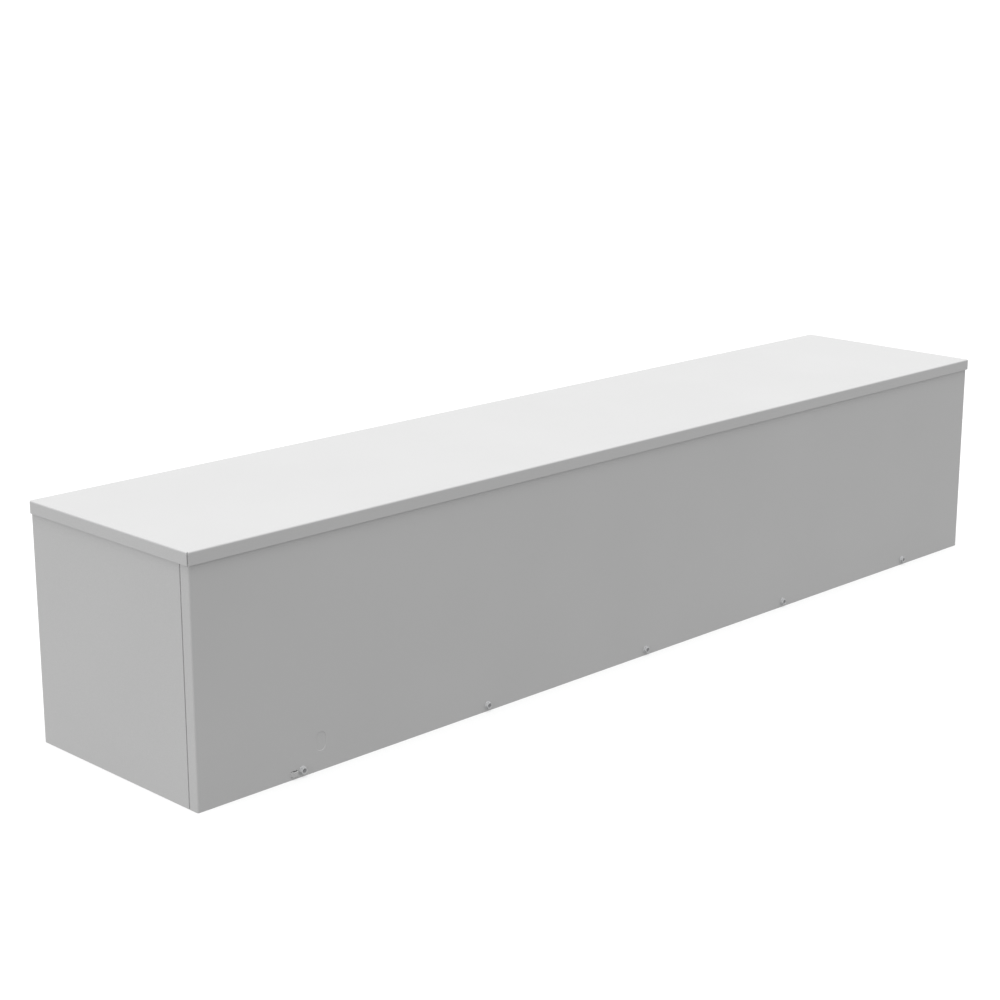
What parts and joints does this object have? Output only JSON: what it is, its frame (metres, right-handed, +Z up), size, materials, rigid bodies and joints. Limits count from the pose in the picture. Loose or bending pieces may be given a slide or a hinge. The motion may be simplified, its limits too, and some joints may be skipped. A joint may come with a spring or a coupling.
{
  "type": "wireway",
  "caption": "Long square rainproof wiring trough of bent sheet steel, with a drip-shield top whose lips turn down and a front cover screwed on along its bottom edge.",
  "frame": {"origin": "middle of the length and of the overall depth, on the underside", "axes": "+X along the length, -Y towards the screwed cover, +Y towards the wall, +Z up to the drip shield"},
  "size_m": [1.529, 0.3134, 0.3063],
  "materials": {
    "grey_powder_coat": "light grey powder coat, satin",
    "zinc_plated_steel": "bright zinc plating, satin"
  },
  "bodies": {
    "root": {"trough_body": "grey_powder_coat", "end_plate_left": "grey_powder_coat", "end_plate_right": "grey_powder_coat", "drip_shield_top": "grey_powder_coat", "front_cover": "grey_powder_coat", "cover_screw_1": "zinc_plated_steel", "cover_screw_2": "zinc_plated_steel", "cover_screw_3": "zinc_plated_steel", "cover_screw_4": "zinc_plated_steel", "cover_screw_5": "zinc_plated_steel"}
  },
  "joints": []
}
